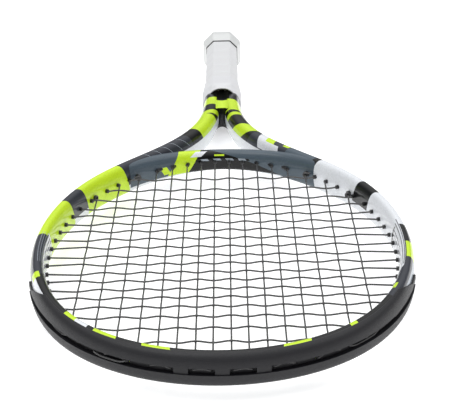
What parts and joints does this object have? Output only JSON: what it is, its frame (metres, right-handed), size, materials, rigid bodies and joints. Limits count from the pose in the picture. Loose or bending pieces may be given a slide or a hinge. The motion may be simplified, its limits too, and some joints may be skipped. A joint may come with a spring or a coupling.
{
  "type": "tennis racket",
  "caption": "Strung adult tennis racket with a hollow oval hoop, open throat, bridge, grommet strips, woven strings, wrapped eight-sided handle, collar and butt cap.",
  "frame": {"origin": "centre of the butt cap's flat end face", "axes": "-Y from the handle up to the hoop's tip, along the racket's length; +X across the strings, to the right seen from +Z with the tip away; +Z out of the string face, square to the string plane; +Y out of the butt face"},
  "size_m": [0.2708, 0.6849, 0.0406],
  "materials": {
    "frame_paint": "gloss lacquer on the moulded carbon-fibre composite tube, dark slate with lime and white panels",
    "bridge_paint": "the same gloss lacquer on the bridge",
    "guard_plastic": "satin charcoal nylon guard",
    "grommet_plastic": "black nylon grommet strip",
    "string_polyester": "glossy black polyester monofilament",
    "handle_foam": "closed-cell polyurethane foam",
    "cap_plastic": "satin white moulded plastic",
    "staple_steel": "bright steel wire",
    "grip_wrap": "soft white polyurethane wrap with faint seams",
    "tape_vinyl": "thin white vinyl tape",
    "collar_rubber": "soft white rubber"
  },
  "bodies": {
    "root": {"frame_tube": "frame_paint", "throat_bridge": "bridge_paint", "bumper_guard": "guard_plastic", "right_grommet_strip": "grommet_plastic", "left_grommet_strip": "grommet_plastic", "bridge_grommet_strip": "grommet_plastic", "main_string": "string_polyester", "cross_string": "string_polyester", "handle_foam": "handle_foam", "leg_plugs": "handle_foam", "butt_cap": "cap_plastic", "butt_cap_staples": "staple_steel", "grip_staple": "staple_steel", "base_grip": "grip_wrap", "finishing_tape": "tape_vinyl", "grip_collar": "collar_rubber"}
  },
  "joints": []
}
